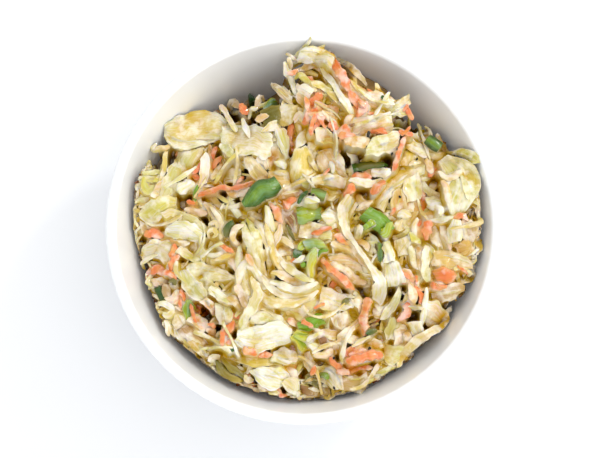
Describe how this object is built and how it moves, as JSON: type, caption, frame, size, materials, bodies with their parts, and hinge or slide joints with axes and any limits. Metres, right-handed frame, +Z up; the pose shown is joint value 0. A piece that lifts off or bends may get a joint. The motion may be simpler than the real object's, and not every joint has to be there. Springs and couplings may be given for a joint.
{
  "type": "coleslaw in a bowl",
  "caption": "Round white bowl with a foot ring, heaped with coleslaw of shredded cabbage, carrot and green onion in a creamy dressing.",
  "frame": {"origin": "centre of the foot ring's underside, on the surface that the bowl stands on", "axes": "+Z up along the bowl's axis, +Y towards the back, where the heap's highest spoonful leans on the wall, +X to the right"},
  "size_m": [0.13, 0.13, 0.0691],
  "materials": {
    "bowl_glaze": "smooth glossy white glaze",
    "coleslaw": "moist cabbage in a creamy dressing, satin with wet highlights"
  },
  "bodies": {
    "root": {"bowl": "bowl_glaze", "coleslaw": "coleslaw"}
  },
  "joints": []
}
